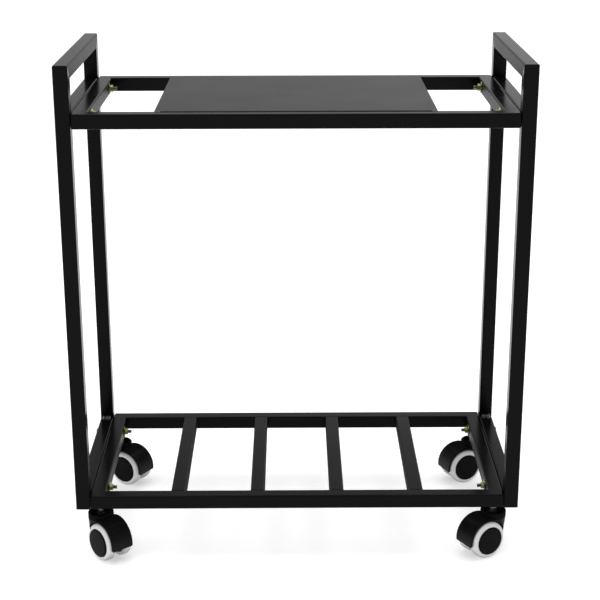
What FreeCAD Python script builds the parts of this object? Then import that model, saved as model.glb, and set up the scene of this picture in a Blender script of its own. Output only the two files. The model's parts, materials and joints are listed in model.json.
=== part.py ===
"""Battery trolley: two bolted shelves between two welded side frames, on four twin-wheel casters.

Millimetres, +Z up.  The origin is on the floor, under the middle of the whole object.
+X runs along the shelves to the right, +Y runs from the front to the back.
"""
import FreeCAD, Part
import math
import os

V = FreeCAD.Vector

# Square tube of the frames
TUBE = 22.0
TUBE_WALL = 1.2
TUBE_CORNER = 2.5

# Frames
FRAME_WIDTH = 685.0
FRAME_DEPTH = 334.0
SIDE_HEIGHT = 687.0
GRIP_HEIGHT = 47.0
PAINT_GAP = 0.5
SHELF_CORNER = 3.0
SLAT_COUNT = 4

# Sheet plate on the upper shelf
PLATE_WIDTH = 405.0
PLATE_THICKNESS = 1.2
PLATE_LAP = 4.0

# Weld beads
POST_BEAD_RISE = 6.5
POST_BEAD_FOOT = 10.0
POST_BEAD_LENGTH = 15.0
SLAT_BEAD_LEG = 2.5
SLAT_BEAD_LENGTH = 14.0
TACK_LENGTH = 9.0
TACK_LEG = 2.2

# Plugs in the lower ends of the posts
PLUG_FLANGE = 2.0
PLUG_DEPTH = 12.0
PLUG_CLEARANCE = 0.1

# Bolts between side frames and shelves
BOLT_DIAMETER = 6.0
BOLT_HOLE_CLEARANCE = 0.6
BOLT_HEAD_DIAMETER = 12.0
BOLT_HEAD_HEIGHT = 3.2
BOLT_HEAD_ROUND = 2.4
BOLT_CROSS_LENGTH = 6.0
BOLT_CROSS_WIDTH = 1.2
BOLT_CROSS_DEPTH = 1.6
BOLT_END_INSET = 57.0
BOLT_STICK_OUT = 6.0
WASHER_DIAMETER = 18.0
WASHER_THICKNESS = 1.6
NUT_FLATS = 10.0
NUT_HEIGHT = 5.0
THREAD_GAP = 0.05

# Caster wheels
WHEEL_DIAMETER = 60.0
WHEEL_GAP_HALF = 7.5
TREAD_INNER_FACE = 9.0
TREAD_OUTER_FACE = 22.5
TREAD_DEPTH = 5.4
TREAD_LIP = 2.4
TREAD_SHOULDER = 5.5
TREAD_INNER_ROUND = 2.0
TREAD_BOND_GAP = 0.05
CAP_DIAMETER = 45.4
CAP_STANDS_OUT = 2.8
CAP_ROUND = 2.4
CAP_THICKNESS = 2.4
RIM_WALL = 2.6
HUB_DIAMETER = 16.0
AXLE_DIAMETER = 6.0
AXLE_RUNNING_GAP = 0.05
AXLE_END_COVER = 2.2

# Caster housing
TRAIL = 23.0
HOOD_WIDTH = 38.5
HOOD_WALL = 2.6
HOOD_CLEARANCE = 2.0
HOOD_ROUND = 1.5
HOOD_TIP_ROUND = 1.5
HOOD_CORNER_ROUND = 4.0
HOOD_CUT_SLACK = 0.05
HOOD_EDGE_DROP = 5.6
WEB_THICKNESS = 6.0
BOSS_WALL = 2.5
BOSS_END_GAP = 0.3
COLLAR_DIAMETER = 40.0
COLLAR_RISE = 5.4
COLLAR_HEIGHT = 9.0
COLLAR_ROUND = 1.5
COLLAR_RECESS_DIAMETER = 32.0
COLLAR_RECESS_DEPTH = 5.0

# Caster stem
STEM_INSET = 32.0
STEM_THREAD = 8.0
STEM_THREAD_LENGTH = 26.0
STEM_HEX_FLATS = 10.0
STEM_HEX_ABOVE_COLLAR = 6.0
STEM_NUT_FLATS = 13.0
STEM_FLANGE_DIAMETER = 14.0
STEM_FLANGE_THICKNESS = 2.0
STEM_PIN_DIAMETER = 9.0
STEM_PIN_LENGTH = 32.0
STEM_RUNNING_GAP = 0.05
STEM_THRUST_GAP = 0.1
LOCK_NUT_HEIGHT = 6.5
WELD_NUT_HEIGHT = 5.5
STEM_HOLE_CLEARANCE = 0.5
RING_FROM_PIN_END = 6.0
RING_HEIGHT = 1.6
RING_DEPTH = 0.9
RING_SLIT = 1.6
RING_GAP = 0.05

# Corners of the frame that the casters stand under, as signs of x and y
CASTER_CORNERS = {
    "front_left": (-1, -1),
    "front_right": (1, -1),
    "rear_left": (-1, 1),
    "rear_right": (1, 1),
}

# Directions in which the casters trail at rest, in degrees from +X
TRAIL_ANGLES = {
    "front_left": -49.0,
    "front_right": -148.0,
    "rear_left": -33.0,
    "rear_right": -156.0,
}

# Heights above the floor
AXLE_Z = WHEEL_DIAMETER / 2
HOOD_EDGE_Z = AXLE_Z - HOOD_EDGE_DROP
HOOD_OUTER = AXLE_Z + HOOD_CLEARANCE + HOOD_WALL
COLLAR_TOP = AXLE_Z + HOOD_OUTER + COLLAR_RISE
RECESS_Z = COLLAR_TOP - COLLAR_RECESS_DEPTH
HEX_TOP = COLLAR_TOP + STEM_HEX_ABOVE_COLLAR
LOCK_NUT_TOP = HEX_TOP + LOCK_NUT_HEIGHT
BASE_Z = LOCK_NUT_TOP + WELD_NUT_HEIGHT
TOP_Z = BASE_Z + SIDE_HEIGHT
LOWER_Z = BASE_Z
UPPER_Z = TOP_Z - 2 * TUBE - GRIP_HEIGHT

# Distances from the middle of the frame
SIDE_X = FRAME_WIDTH / 2 - TUBE / 2
SHELF_HALF_WIDTH = FRAME_WIDTH / 2 - TUBE - PAINT_GAP
END_RAIL_X = SHELF_HALF_WIDTH - TUBE / 2
RAIL_Y = FRAME_DEPTH / 2 - TUBE / 2
CLEAR_HALF_DEPTH = FRAME_DEPTH / 2 - TUBE
BOLT_Y = FRAME_DEPTH / 2 - BOLT_END_INSET
STEM_Y = FRAME_DEPTH / 2 - STEM_INSET
SLAT_PITCH = 2 * END_RAIL_X / (SLAT_COUNT + 1)


def front_reach(angle):
    """How far a caster's hood reaches forward of its stem, trailing at this angle."""
    turn = math.radians(angle)
    return (TRAIL + HOOD_OUTER) * -math.sin(turn) + HOOD_WIDTH / 2 * abs(math.cos(turn))


# The front casters stand out before the frame, so the frame's middle lies behind the origin
FRONT_CORNERS = [corner for corner, (x_side, y_side) in CASTER_CORNERS.items() if y_side < 0]
FRONT_OVERHANG = max(front_reach(TRAIL_ANGLES[corner]) for corner in FRONT_CORNERS) - STEM_INSET
MIDDLE_Y = FRONT_OVERHANG / 2


def outline(points, place):
    """Closed face through corners (a, b) or (a, b, radius); place turns a, b into a point in space."""
    corners = [V(point[0], point[1], 0) for point in points]
    radii = [point[2] if len(point) > 2 else 0.0 for point in points]
    runs = []
    for i, corner in enumerate(corners):
        back = (corners[i - 1] - corner).normalize()
        ahead = (corners[(i + 1) % len(corners)] - corner).normalize()
        half = back.getAngle(ahead) / 2
        cut = radii[i] / math.tan(half)
        bisector = (back + ahead).normalize()
        crown = corner + bisector * (radii[i] / math.sin(half) - radii[i])
        runs.append((corner + back * cut, crown, corner + ahead * cut, radii[i] > 0))
    edges = []
    for i, (start, crown, end, is_round) in enumerate(runs):
        if is_round:
            edges.append(Part.Arc(*(place(p.x, p.y) for p in (start, crown, end))).toShape())
        after = runs[(i + 1) % len(runs)][0]
        if end.distanceToPoint(after) > 1e-6:
            edges.append(Part.LineSegment(place(end.x, end.y), place(after.x, after.y)).toShape())
    return Part.Face(Part.Wire(edges))


def square(side, corner):
    """Corners of a square with rounded corners, about its middle."""
    half = side / 2
    return [(a * half, b * half, corner) for a, b in ((-1, -1), (1, -1), (1, 1), (-1, 1))]


def hexagon(flats):
    """Corners of a hexagon of this width across its flats."""
    radius = flats / math.sqrt(3)
    return [(radius * math.cos(k * math.pi / 3), radius * math.sin(k * math.pi / 3)) for k in range(6)]


def round_bar(diameter, start, end):
    """Cylinder of this diameter from one point to another."""
    return Part.makeCylinder(diameter / 2, (end - start).Length, start, end - start)


def turned(points, place, centre, axis):
    """Solid of revolution of an outline about an axis."""
    return outline(points, place).revolve(centre, axis, 360)


def along(axis, middle, start, end):
    """Square tube along X, Y or Z from start to end, about a middle line."""
    def place(a, b):
        across = {"X": V(start, a, b), "Y": V(a, start, b), "Z": V(a, b, start)}
        return across[axis] + middle
    run = {"X": V(1, 0, 0), "Y": V(0, 1, 0), "Z": V(0, 0, 1)}[axis] * (end - start)
    shell = outline(square(TUBE, TUBE_CORNER), place).extrude(run)
    inner_corner = max(0.0, TUBE_CORNER - TUBE_WALL)
    hollow = outline(square(TUBE - 2 * TUBE_WALL, inner_corner), place).extrude(run)
    return shell.cut(hollow)


def plan_prism(points):
    """Tall prism over corners (x, y), for mitres in plan."""
    return outline(points, lambda a, b: V(a, b, BASE_Z)).extrude(V(0, 0, SIDE_HEIGHT))


def side_prism(points):
    """Wide prism over corners (y, z), for mitres in a side frame."""
    return outline(points, lambda a, b: V(-FRAME_WIDTH, a, b)).extrude(V(2 * FRAME_WIDTH, 0, 0))


# Side frames

def post(x_side, y_side):
    """Upright of a side frame, mitred at its top and closed by a plug at its foot."""
    outer = y_side * FRAME_DEPTH / 2
    inner = y_side * CLEAR_HALF_DEPTH
    foot = BASE_Z + PLUG_FLANGE
    tube = along("Z", V(x_side * SIDE_X, y_side * RAIL_Y, 0), foot, TOP_Z)
    return tube.common(side_prism([(outer, foot), (outer, TOP_Z), (inner, TOP_Z - TUBE), (inner, foot)]))


def handle_bar(x_side):
    """Top bar of a side frame, mitred into both posts."""
    half = FRAME_DEPTH / 2
    tube = along("Y", V(x_side * SIDE_X, 0, TOP_Z - TUBE / 2), -half, half)
    low = TOP_Z - TUBE
    return tube.common(side_prism([(-half, TOP_Z), (half, TOP_Z), (half - TUBE, low), (TUBE - half, low)]))


def bolt_holes(z):
    """Cutters for the bolts through both sides of one shelf."""
    size = BOLT_DIAMETER + BOLT_HOLE_CLEARANCE
    wide = V(FRAME_WIDTH, 0, 0)
    return [round_bar(size, V(0, side * BOLT_Y, z) - wide, V(0, side * BOLT_Y, z) + wide) for side in (-1, 1)]


def cross_rail(x_side, bottom):
    """Rail between the posts of a side frame, drilled for the shelf's bolts."""
    middle = bottom + TUBE / 2
    tube = along("Y", V(x_side * SIDE_X, 0, middle), -CLEAR_HALF_DEPTH, CLEAR_HALF_DEPTH)
    return tube.cut(bolt_holes(middle))


def post_plug(x_side, y_side):
    """Plug with a flange under the post and an insert inside it."""
    centre = V(x_side * SIDE_X, y_side * RAIL_Y, BASE_Z)
    insert_side = TUBE - 2 * TUBE_WALL - 2 * PLUG_CLEARANCE
    flange = outline(square(TUBE, TUBE_CORNER), lambda a, b: centre + V(a, b, 0))
    insert = outline(square(insert_side, TUBE_CORNER / 2), lambda a, b: centre + V(a, b, 0))
    plug = flange.extrude(V(0, 0, PLUG_FLANGE)).fuse(insert.extrude(V(0, 0, PLUG_FLANGE + PLUG_DEPTH)))
    return plug.removeSplitter()


# Shelves

def shelf_outline():
    """Prism over a shelf, with its corners dressed round after welding."""
    wide, half = SHELF_HALF_WIDTH, FRAME_DEPTH / 2
    return plan_prism([(a * wide, b * half, SHELF_CORNER) for a, b in ((-1, -1), (1, -1), (1, 1), (-1, 1))])


def long_rail(y_side, bottom):
    """Front or rear rail of a shelf, mitred at both ends."""
    wide = SHELF_HALF_WIDTH
    outer = y_side * FRAME_DEPTH / 2
    inner = y_side * CLEAR_HALF_DEPTH
    tube = along("X", V(0, y_side * RAIL_Y, bottom + TUBE / 2), -wide, wide)
    mitres = plan_prism([(-wide, outer), (wide, outer), (wide - TUBE, inner), (TUBE - wide, inner)])
    return tube.common(mitres).common(shelf_outline())


def end_rail(x_side, bottom):
    """Left or right rail of a shelf, mitred at both ends and drilled for the bolts."""
    half = FRAME_DEPTH / 2
    outer = x_side * SHELF_HALF_WIDTH
    inner = x_side * (SHELF_HALF_WIDTH - TUBE)
    middle = bottom + TUBE / 2
    tube = along("Y", V(x_side * END_RAIL_X, 0, middle), -half, half)
    mitres = plan_prism([(outer, -half), (outer, half), (inner, half - TUBE), (inner, TUBE - half)])
    return tube.common(mitres).common(shelf_outline()).cut(bolt_holes(middle))


def stem_holes():
    """Cutters for the caster stems through the under side of the lower shelf's end rails."""
    size = STEM_THREAD + STEM_HOLE_CLEARANCE
    places = [V(x * END_RAIL_X, y * STEM_Y, 0) for x in (-1, 1) for y in (-1, 1)]
    return [round_bar(size, p + V(0, 0, BASE_Z - TUBE_WALL), p + V(0, 0, BASE_Z + TUBE / 2)) for p in places]


def slat(number):
    """Front-to-back slat of the lower shelf, counted from the left."""
    x = -END_RAIL_X + number * SLAT_PITCH
    return along("Y", V(x, 0, LOWER_Z + TUBE / 2), -CLEAR_HALF_DEPTH, CLEAR_HALF_DEPTH)


def top_plate():
    """Sheet plate that lies on the upper shelf's long rails."""
    depth = 2 * (CLEAR_HALF_DEPTH + PLATE_LAP)
    return Part.makeBox(PLATE_WIDTH, depth, PLATE_THICKNESS, V(-PLATE_WIDTH / 2, -depth / 2, UPPER_Z + TUBE))


# Weld beads: three-sided bars in the corner between two pieces

def bead(corner, leg_a, leg_b, run):
    """Bead from a corner point, along two legs, carried along a run about that corner."""
    points = [corner - run / 2, corner + leg_a - run / 2, corner + leg_b - run / 2]
    return Part.Face(Part.makePolygon(points + points[:1])).extrude(run)


def side_frame_welds():
    """Beads where the cross rails meet the posts: above the lower rails and below the upper ones."""
    beads = []
    levels = [(LOWER_Z + TUBE, 1), (UPPER_Z, -1)]
    for x_side in (-1, 1):
        for y_side in (-1, 1):
            for z, up in levels:
                corner = V(x_side * SIDE_X, y_side * CLEAR_HALF_DEPTH, z)
                legs = V(0, -y_side * POST_BEAD_FOOT, 0), V(0, 0, up * POST_BEAD_RISE)
                beads.append(bead(corner, *legs, V(POST_BEAD_LENGTH, 0, 0)))
    return beads


def slat_welds():
    """Upright beads beside each slat's ends."""
    beads = []
    for number in range(1, SLAT_COUNT + 1):
        for x_side in (-1, 1):
            for y_side in (-1, 1):
                x = -END_RAIL_X + number * SLAT_PITCH + x_side * TUBE / 2
                corner = V(x, y_side * CLEAR_HALF_DEPTH, LOWER_Z + TUBE / 2)
                legs = V(x_side * SLAT_BEAD_LEG, 0, 0), V(0, -y_side * SLAT_BEAD_LEG, 0)
                beads.append(bead(corner, *legs, V(0, 0, SLAT_BEAD_LENGTH)))
    return beads


def plate_tacks():
    """Tacks along the plate's front and rear edges, at its corners."""
    beads = []
    for x_side in (-1, 1):
        for y_side in (-1, 1):
            x = x_side * (PLATE_WIDTH / 2 - TACK_LENGTH / 2)
            corner = V(x, y_side * (CLEAR_HALF_DEPTH + PLATE_LAP), UPPER_Z + TUBE)
            legs = V(0, y_side * TACK_LEG, 0), V(0, 0, PLATE_THICKNESS)
            beads.append(bead(corner, *legs, V(TACK_LENGTH, 0, 0)))
    return beads


# Bolts, from the outer face of a side frame inwards

BOLT_HEAD_X = FRAME_WIDTH / 2
BOLT_HEAD_TOP = BOLT_HEAD_X + BOLT_HEAD_HEIGHT
WASHER_X = SHELF_HALF_WIDTH - TUBE
NUT_X = WASHER_X - WASHER_THICKNESS
NUT_END_X = NUT_X - NUT_HEIGHT
BOLT_END_X = NUT_END_X - BOLT_STICK_OUT


def bolt_places():
    """Side, y and z of each bolt."""
    levels = [LOWER_Z + TUBE / 2, UPPER_Z + TUBE / 2]
    return [(x, y * BOLT_Y, z) for x in (-1, 1) for y in (-1, 1) for z in levels]


def cross_slot(x_side, y, z):
    """Cutters for the cross slot in a bolt's head."""
    bottom = x_side * (BOLT_HEAD_TOP - BOLT_CROSS_DEPTH)
    out = V(x_side * BOLT_HEAD_HEIGHT, 0, 0)
    arms = []
    for wide, tall in ((BOLT_CROSS_LENGTH, BOLT_CROSS_WIDTH), (BOLT_CROSS_WIDTH, BOLT_CROSS_LENGTH)):
        corners = [(a * wide / 2, b * tall / 2) for a, b in ((-1, -1), (1, -1), (1, 1), (-1, 1))]
        arms.append(outline(corners, lambda a, b: V(bottom, y + a, z + b)).extrude(out))
    return arms


def bolt(x_side, y, z):
    """Round-headed bolt with its head outside the side frame."""
    radius = BOLT_HEAD_DIAMETER / 2
    profile = [(BOLT_HEAD_X, 0), (BOLT_HEAD_X, radius), (BOLT_HEAD_TOP, radius, BOLT_HEAD_ROUND),
               (BOLT_HEAD_TOP, 0)]
    head = turned(profile, lambda a, r: V(x_side * a, y, z + r), V(0, y, z), V(1, 0, 0))
    shank = round_bar(BOLT_DIAMETER, V(x_side * BOLT_END_X, y, z), V(x_side * BOLT_HEAD_X, y, z))
    return head.cut(cross_slot(x_side, y, z)).fuse(shank)


def bored(shape, y, z):
    """Washer or nut with a bore for the bolt."""
    size = BOLT_DIAMETER + 2 * THREAD_GAP
    return shape.cut(round_bar(size, V(-FRAME_WIDTH, y, z), V(FRAME_WIDTH, y, z)))


def washer(x_side, y, z):
    """Wide washer on the inner face of the shelf's end rail."""
    disc = round_bar(WASHER_DIAMETER, V(x_side * NUT_X, y, z), V(x_side * WASHER_X, y, z))
    return bored(disc, y, z)


def nut(x_side, y, z):
    """Hex nut on the washer."""
    face = outline(hexagon(NUT_FLATS), lambda a, b: V(x_side * NUT_END_X, y + b, z + a))
    return bored(face.extrude(V(x_side * NUT_HEIGHT, 0, 0)), y, z)


# Casters, each made about its own stem: trailing along +X, floor at z 0

AXLE_CENTRE = V(TRAIL, 0, AXLE_Z)
ALONG_AXLE = V(0, 1, 0)
UP = V(0, 0, 1)
PIN_BOTTOM = RECESS_Z - STEM_PIN_LENGTH


def about_axle(w, r):
    """Point at a distance w from the caster's middle and r above the axle."""
    return AXLE_CENTRE + V(0, w, r)


def about_stem(r, z):
    """Point at a distance r from the stem's axis."""
    return V(r, 0, z)


def hood_drum():
    """Drum over both wheels, cut away below its edge and ahead of the stem, with rounded tip corners."""
    half = HOOD_WIDTH / 2
    drum = turned([(-half, 0), (half, 0), (half, HOOD_OUTER, HOOD_ROUND), (-half, HOOD_OUTER, HOOD_ROUND)],
                  about_axle, AXLE_CENTRE, ALONG_AXLE)
    reach = 2 * HOOD_OUTER
    low = HOOD_EDGE_Z - reach
    tip = TRAIL + HOOD_OUTER + HOOD_CUT_SLACK
    under = [(-reach, low), (-reach, HOOD_EDGE_Z), (tip, HOOD_EDGE_Z, HOOD_TIP_ROUND), (tip, AXLE_Z),
             (2 * reach, AXLE_Z), (2 * reach, low)]
    below = outline(under, lambda a, b: V(a, -reach, b)).extrude(V(0, 2 * reach, 0))
    ahead = Part.makeBox(reach, 2 * reach, 2 * reach, V(-reach, -reach, low))
    size = HOOD_CORNER_ROUND
    w, z = half + HOOD_CUT_SLACK, HOOD_EDGE_Z - HOOD_CUT_SLACK
    beside = [(w - size, z - size), (w + size, z - size), (w + size, z + size), (w, z + size), (w, z, size),
              (w - size, z)]
    corners = [outline(beside, lambda a, b: V(TRAIL, side * a, b)).extrude(V(reach, 0, 0))
               for side in (-1, 1)]
    return drum.cut([below, ahead] + corners)


def collar_column():
    """Round collar on a lofted column that narrows down to the front of the hood's edge."""
    collar = COLLAR_DIAMETER / 2
    recess = COLLAR_RECESS_DIAMETER / 2
    shoulder_z = COLLAR_TOP - COLLAR_HEIGHT
    rim = turned([(0, shoulder_z), (collar, shoulder_z), (collar, COLLAR_TOP, COLLAR_ROUND),
                  (recess, COLLAR_TOP, COLLAR_ROUND / 2), (recess, RECESS_Z), (0, RECESS_Z)],
                 about_stem, V(0, 0, 0), UP)
    squash = FreeCAD.Matrix()
    squash.scale((HOOD_OUTER - TRAIL) / collar, 1, 1)
    foot = Part.makeCircle(collar, V(0, 0, HOOD_EDGE_Z), UP).transformGeometry(squash)
    shoulder = Part.makeCircle(collar, V(0, 0, shoulder_z), UP)
    return [Part.makeLoft([Part.Wire(foot), Part.Wire(shoulder)], True, True), rim]


def caster_housing():
    """Moulded hood over both wheels, with its collar, middle web, stem socket and axle boss."""
    pocket = HOOD_OUTER - HOOD_WALL
    web = WEB_THICKNESS / 2
    pockets = [round_bar(2 * pocket, about_axle(side * web, 0), about_axle(side * HOOD_WIDTH, 0))
               for side in (-1, 1)]
    dish = round_bar(COLLAR_RECESS_DIAMETER, V(0, 0, RECESS_Z), V(0, 0, BASE_Z))
    body = hood_drum().fuse(collar_column()).cut(pockets).cut(dish)
    socket = round_bar(STEM_PIN_DIAMETER + 2 * BOSS_WALL, V(0, 0, PIN_BOTTOM - BOSS_WALL), V(0, 0, RECESS_Z))
    boss_end = WHEEL_GAP_HALF - BOSS_END_GAP
    boss = round_bar(AXLE_DIAMETER + 2 * BOSS_WALL, about_axle(-boss_end, 0), about_axle(boss_end, 0))
    pin_bore = round_bar(STEM_PIN_DIAMETER + 2 * STEM_RUNNING_GAP, V(0, 0, PIN_BOTTOM), V(0, 0, BASE_Z))
    axle_bore = round_bar(AXLE_DIAMETER, about_axle(-HOOD_WIDTH, 0), about_axle(HOOD_WIDTH, 0))
    return body.fuse([socket, boss]).cut([pin_bore, axle_bore]).removeSplitter()


def wheel_core(side):
    """Moulded wheel with a flat outer cap, a rim for the tread and a blind hub."""
    bore = AXLE_DIAMETER / 2 + AXLE_RUNNING_GAP
    hub = HUB_DIAMETER / 2
    rim = WHEEL_DIAMETER / 2 - TREAD_DEPTH - TREAD_BOND_GAP
    cap = CAP_DIAMETER / 2
    seat = TREAD_OUTER_FACE - TREAD_LIP
    face = TREAD_OUTER_FACE + CAP_STANDS_OUT
    inside = face - CAP_THICKNESS
    profile = [(WHEEL_GAP_HALF, bore), (WHEEL_GAP_HALF, hub), (inside, hub), (inside, cap - RIM_WALL),
               (TREAD_INNER_FACE, rim - RIM_WALL), (TREAD_INNER_FACE, rim), (seat, rim), (seat, cap),
               (face, cap, CAP_ROUND), (face, 0), (face - AXLE_END_COVER, 0), (face - AXLE_END_COVER, bore)]
    return turned([(side * w, *rest) for w, *rest in profile], about_axle, AXLE_CENTRE, ALONG_AXLE)


def wheel_tread(side):
    """Round-shouldered tread ring with a lip over the rim's outer side."""
    outer = WHEEL_DIAMETER / 2
    seat = outer - TREAD_DEPTH
    lip = CAP_DIAMETER / 2 + TREAD_BOND_GAP
    step = TREAD_OUTER_FACE - TREAD_LIP + TREAD_BOND_GAP
    profile = [(TREAD_INNER_FACE, seat), (TREAD_INNER_FACE, outer, TREAD_INNER_ROUND),
               (TREAD_OUTER_FACE, outer, TREAD_SHOULDER), (TREAD_OUTER_FACE, lip), (step, lip), (step, seat)]
    return turned([(side * w, *rest) for w, *rest in profile], about_axle, AXLE_CENTRE, ALONG_AXLE)


def caster_axle():
    """Steel pin through the boss into both hubs."""
    end = TREAD_OUTER_FACE + CAP_STANDS_OUT - AXLE_END_COVER - AXLE_RUNNING_GAP
    return round_bar(AXLE_DIAMETER, about_axle(-end, 0), about_axle(end, 0))


def caster_stem():
    """Stem with a grooved pin below, a thrust flange, a hexagon and a threaded end above."""
    pin = STEM_PIN_DIAMETER / 2
    groove = pin - RING_DEPTH
    ring_low = PIN_BOTTOM + RING_FROM_PIN_END
    flange = STEM_FLANGE_DIAMETER / 2
    flange_z = RECESS_Z + STEM_THRUST_GAP
    hex_z = flange_z + STEM_FLANGE_THICKNESS
    thread = STEM_THREAD / 2
    thread_top = HEX_TOP + STEM_THREAD_LENGTH
    pin_low = PIN_BOTTOM + STEM_THRUST_GAP
    ring_high = ring_low + RING_HEIGHT
    profile = [(0, pin_low), (pin, pin_low), (pin, ring_low), (groove, ring_low), (groove, ring_high),
               (pin, ring_high), (pin, flange_z), (flange, flange_z), (flange, hex_z), (thread, hex_z),
               (thread, thread_top), (0, thread_top)]
    shaft = turned(profile, about_stem, V(0, 0, 0), UP)
    hexagonal = outline(hexagon(STEM_HEX_FLATS), lambda a, b: V(a, b, hex_z))
    return shaft.fuse(hexagonal.extrude(V(0, 0, HEX_TOP - hex_z)))


def grip_ring():
    """Split spring ring in the pin's groove."""
    outer = STEM_PIN_DIAMETER - 2 * RING_GAP
    inner = STEM_PIN_DIAMETER - 2 * RING_DEPTH + 2 * RING_GAP
    low = V(0, 0, PIN_BOTTOM + RING_FROM_PIN_END + RING_GAP)
    high = V(0, 0, PIN_BOTTOM + RING_FROM_PIN_END + RING_HEIGHT - RING_GAP)
    slit = Part.makeBox(STEM_PIN_DIAMETER, RING_SLIT, BASE_Z, V(0, -RING_SLIT / 2, 0))
    return round_bar(outer, low, high).cut(round_bar(inner, low, high)).cut(slit)


def stem_nut(low, high):
    """Hex nut on the stem's thread."""
    block = outline(hexagon(STEM_NUT_FLATS), lambda a, b: V(a, b, low)).extrude(V(0, 0, high - low))
    return block.cut(round_bar(STEM_THREAD + 2 * THREAD_GAP, V(0, 0, low), V(0, 0, high)))


def at_corner(shape, corner):
    """Copy of a caster piece, turned to its trail and set under its corner of the frame."""
    x_side, y_side = CASTER_CORNERS[corner]
    copy = shape.copy()
    copy.rotate(V(0, 0, 0), UP, TRAIL_ANGLES[corner])
    copy.translate(V(x_side * END_RAIL_X, y_side * STEM_Y, 0))
    return copy


# All nodes, about the middle of the frame

nodes = {}
SIDES = {"left": -1, "right": 1}
ENDS = {"front": -1, "rear": 1}
for side_name, x in SIDES.items():
    for end_name, y in ENDS.items():
        nodes[f"{side_name}_{end_name}_post"] = post(x, y)
    nodes[f"{side_name}_handle_bar"] = handle_bar(x)
    nodes[f"{side_name}_upper_cross_rail"] = cross_rail(x, UPPER_Z)
    nodes[f"{side_name}_lower_cross_rail"] = cross_rail(x, LOWER_Z)
    nodes[f"upper_shelf_{side_name}_rail"] = end_rail(x, UPPER_Z)
    nodes[f"lower_shelf_{side_name}_rail"] = end_rail(x, LOWER_Z).cut(stem_holes())
for end_name, y in ENDS.items():
    nodes[f"upper_shelf_{end_name}_rail"] = long_rail(y, UPPER_Z)
    nodes[f"lower_shelf_{end_name}_rail"] = long_rail(y, LOWER_Z)
nodes["upper_shelf_plate"] = top_plate()
for number in range(1, SLAT_COUNT + 1):
    nodes[f"lower_shelf_slat_{number}"] = slat(number)

nodes["side_frame_welds"] = Part.makeCompound(side_frame_welds())
nodes["slat_welds"] = Part.makeCompound(slat_welds())
nodes["plate_tacks"] = Part.makeCompound(plate_tacks())
nodes["post_plugs"] = Part.makeCompound([post_plug(x, y) for x in (-1, 1) for y in (-1, 1)])
nodes["frame_bolts"] = Part.makeCompound([bolt(*place) for place in bolt_places()])
nodes["frame_washers"] = Part.makeCompound([washer(*place) for place in bolt_places()])
nodes["frame_nuts"] = Part.makeCompound([nut(*place) for place in bolt_places()])

stem_pieces = {
    "caster_stems": caster_stem(),
    "caster_grip_rings": grip_ring(),
    "caster_lock_nuts": stem_nut(HEX_TOP, LOCK_NUT_TOP),
    "caster_weld_nuts": stem_nut(LOCK_NUT_TOP, BASE_Z),
}
for name, shape in stem_pieces.items():
    nodes[name] = Part.makeCompound([at_corner(shape, corner) for corner in CASTER_CORNERS])

caster_pieces = {
    "housing": caster_housing(),
    "axle": caster_axle(),
    "wheel_1": wheel_core(1),
    "wheel_2": wheel_core(-1),
    "tread_1": wheel_tread(1),
    "tread_2": wheel_tread(-1),
}
for corner in CASTER_CORNERS:
    for name, shape in caster_pieces.items():
        nodes[f"{corner}_caster_{name}"] = at_corner(shape, corner)

os.makedirs("parts", exist_ok=True)
for name, shape in nodes.items():
    shape.translate(V(0, MIDDLE_Y, 0))
    shape.exportStep(f"parts/{name}.step")
print(f"{len(nodes)} nodes, frame middle at y {MIDDLE_Y:.2f}, rails from z {BASE_Z:.2f}")
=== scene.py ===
"""Battery trolley: the painted tube frame, its fasteners and its casters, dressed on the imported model.

Metres, +Z up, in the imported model's own frame.  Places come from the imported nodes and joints.
"""
import json
import math

import bmesh
import bpy
from mathutils import Matrix, Vector


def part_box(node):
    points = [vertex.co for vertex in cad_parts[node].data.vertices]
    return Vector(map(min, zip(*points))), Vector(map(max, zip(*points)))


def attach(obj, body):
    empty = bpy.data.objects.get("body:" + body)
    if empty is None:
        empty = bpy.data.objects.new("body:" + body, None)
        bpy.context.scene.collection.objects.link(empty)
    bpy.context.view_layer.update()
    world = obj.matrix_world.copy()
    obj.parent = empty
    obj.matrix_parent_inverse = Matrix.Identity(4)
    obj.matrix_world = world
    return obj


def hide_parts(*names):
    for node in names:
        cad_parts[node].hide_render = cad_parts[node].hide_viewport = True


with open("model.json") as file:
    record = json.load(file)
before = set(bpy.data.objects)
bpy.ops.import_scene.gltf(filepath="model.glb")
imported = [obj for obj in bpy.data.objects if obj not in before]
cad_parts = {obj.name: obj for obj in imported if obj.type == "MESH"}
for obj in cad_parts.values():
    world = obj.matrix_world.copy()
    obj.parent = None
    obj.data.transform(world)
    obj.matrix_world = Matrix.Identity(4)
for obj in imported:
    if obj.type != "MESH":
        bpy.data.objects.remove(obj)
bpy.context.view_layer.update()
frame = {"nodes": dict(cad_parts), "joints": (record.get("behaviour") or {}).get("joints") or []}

MM = 0.001
SLIVER = 0.005 * MM
SAME_POINT = 0.001 * MM
POLE = 0.0001 * MM
X, Y, Z = Vector((1, 0, 0)), Vector((0, 1, 0)), Vector((0, 0, 1))
SIDES = (("left", -X), ("right", X))
ENDS = (("front", -Y), ("rear", Y))
LEVELS = ("upper", "lower")

# Square tube, with its start and its end cut square (0) or to a mitre (1)
TUBE = 22 * MM
TUBE_WALL = 1.2 * MM
TUBE_CORNER = 2.5 * MM
TUBE_SECTION = {"Side": TUBE, "Wall": TUBE_WALL, "Corner": TUBE_CORNER}
CUT_SQUARE, TOP_MITRED, BOTH_MITRED = (0.0, 0.0), (0.0, 1.0), (1.0, 1.0)

# Round dressing of the shelves' outer corners, and what a mitred rail loses to it in length
SHELF_CORNER = 3 * MM
DRESSING_ROOM = Vector((0.02 * MM, 0.02 * MM, 5 * MM))
MITRE_LOSS = SHELF_CORNER * (1 - math.sqrt(0.5))

# Sheet plate
PLATE_CORNER = 1.5 * MM
PLATE_EDGE = 0.5 * MM

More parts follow.
